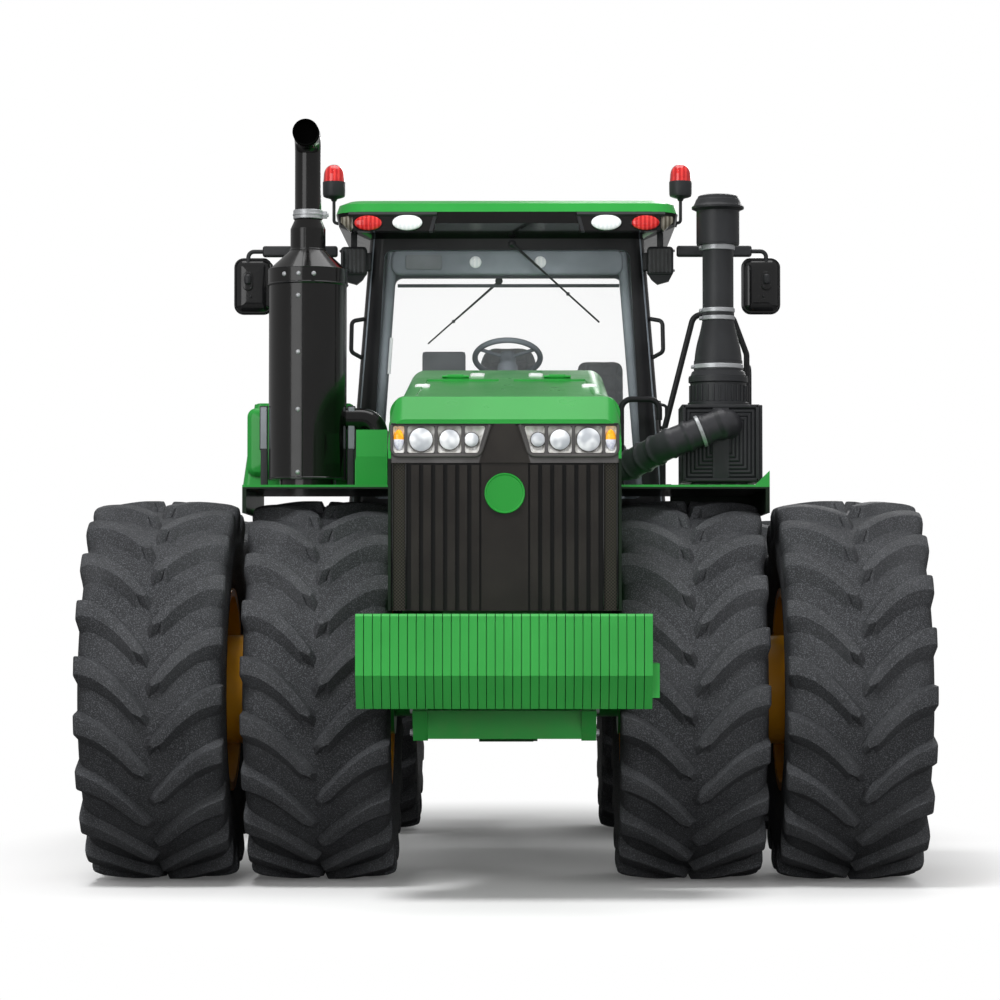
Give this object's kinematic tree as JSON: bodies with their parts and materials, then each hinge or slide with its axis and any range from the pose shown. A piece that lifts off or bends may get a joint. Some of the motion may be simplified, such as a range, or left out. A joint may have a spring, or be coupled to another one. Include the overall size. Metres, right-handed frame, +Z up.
{
  "type": "articulated farm tractor with dual wheels",
  "caption": "Large articulated four-wheel-drive farm tractor with dual wheels, hinged in the middle, with hood, cab, stacks, front weights and drawbar.",
  "frame": {"origin": "middle of the whole tractor's box, on the ground", "axes": "+Z up, the front towards -Y, the tractor's left side towards +X"},
  "size_m": [4.54, 7.3119, 4.2243],
  "materials": {
    "green": "bright green gloss paint",
    "gold": "golden yellow gloss paint",
    "black_metal": "satin black paint",
    "gloss_black": "glossy black",
    "black_plastic": "fine-grained black plastic",
    "grey_plastic": "grained grey plastic",
    "tyre": "dull black rubber",
    "glass": "clear tinted glass",
    "lamp": "clear and coloured lenses over bright reflectors",
    "seat_cloth": "dark grey woven cloth",
    "chrome": "hard chrome"
  },
  "bodies": {
    "chassis_front": {"front_frame": "green", "front_axle": "green", "engine": "black_metal", "gearbox": "black_metal", "front_weights": "green", "cab_frame": "black_plastic", "cab_glass": "glass", "cab_base": "black_plastic", "cab_roof": "green", "roof_visor": "gloss_black", "cab_lamps": "lamp", "cab_console": "grey_plastic", "steering_column": "black_plastic", "seats": "seat_cloth", "cowl": "green", "platforms": "green", "exhaust": "gloss_black", "side_boxes": "green", "air_cleaner": "black_plastic", "handrails": "black_metal", "ladder": "black_metal", "mirrors": "black_plastic"},
    "chassis_rear": {"rear_frame": "green", "rear_axle": "green", "fuel_tank": "black_plastic", "rear_fenders": "green", "drawbar": "black_metal", "drive_shaft": "black_metal"},
    "hood_lid": {"hood": "green", "grille": "gloss_black", "headlights": "lamp"},
    "door": {"cab_door": "black_plastic", "door_glass": "glass"},
    "steering_barrel_left": {"steering_barrel_left": "black_metal"},
    "steering_rod_left": {"steering_rod_left": "chrome"},
    "steering_barrel_right": {"steering_barrel_right": "black_metal"},
    "steering_rod_right": {"steering_rod_right": "chrome"},
    "wheels_front_left": {"tyres_front_left": "tyre", "rims_front_left": "gold"},
    "wheels_front_right": {"tyres_front_right": "tyre", "rims_front_right": "gold"},
    "wheels_rear_left": {"tyres_rear_left": "tyre", "rims_rear_left": "gold"},
    "wheels_rear_right": {"tyres_rear_right": "tyre", "rims_rear_right": "gold"}
  },
  "joints": [
    {"name": "articulation", "type": "hinge", "parent": "chassis_front", "child": "chassis_rear", "pos_m": [0, 0.25, 1.04375], "axis": [0, 0, 1], "range_deg": [-38, 38]},
    {"name": "hood_lift", "type": "hinge", "parent": "chassis_front", "child": "hood_lid", "pos_m": [0, -1.596, 2.79053], "axis": [-1, 0, 0], "range_deg": [0, 48]},
    {"name": "door_swing", "type": "hinge", "parent": "chassis_front", "child": "door", "pos_m": [0.88118, 0.434, 2.855], "axis": [-0.0815, 0, 0.9967], "range_deg": [0, 70]},
    {"name": "steering_barrel_left_pivot", "type": "hinge", "parent": "chassis_front", "child": "steering_barrel_left", "pos_m": [0.47, -0.7, 0.93], "axis": [0, 0, 1], "range_deg": [-4, 4]},
    {"name": "steering_rod_left_slide", "type": "slide", "parent": "steering_barrel_left", "child": "steering_rod_left", "axis": [-0.1297, 0.9915, 0], "range_m": [-0.225, 0.225]},
    {"name": "steering_barrel_right_pivot", "type": "hinge", "parent": "chassis_front", "child": "steering_barrel_right", "pos_m": [-0.47, -0.7, 0.93], "axis": [0, 0, 1], "range_deg": [-4, 4]},
    {"name": "steering_rod_right_slide", "type": "slide", "parent": "steering_barrel_right", "child": "steering_rod_right", "axis": [0.1297, 0.9915, 0], "range_m": [-0.225, 0.225]},
    {"name": "wheels_front_left_spin", "type": "hinge", "parent": "chassis_front", "child": "wheels_front_left", "pos_m": [1, -1.706, 1.04375], "axis": [1, 0, 0], "continuous": true},
    {"name": "wheels_front_right_spin", "type": "hinge", "parent": "chassis_front", "child": "wheels_front_right", "pos_m": [-1, -1.706, 1.04375], "axis": [1, 0, 0], "continuous": true},
    {"name": "wheels_rear_left_spin", "type": "hinge", "parent": "chassis_rear", "child": "wheels_rear_left", "pos_m": [1, 2.206, 1.04375], "axis": [1, 0, 0], "continuous": true},
    {"name": "wheels_rear_right_spin", "type": "hinge", "parent": "chassis_rear", "child": "wheels_rear_right", "pos_m": [-1, 2.206, 1.04375], "axis": [1, 0, 0], "continuous": true}
  ],
  "couplings": [
    {"joint": "steering_barrel_left_pivot", "follows": "articulation", "ratio": 0.04775},
    {"joint": "steering_rod_left_slide", "follows": "articulation", "m_per_rad": 0.32212},
    {"joint": "steering_barrel_right_pivot", "follows": "articulation", "ratio": 0.04775},
    {"joint": "steering_rod_right_slide", "follows": "articulation", "m_per_rad": -0.32212}
  ]
}
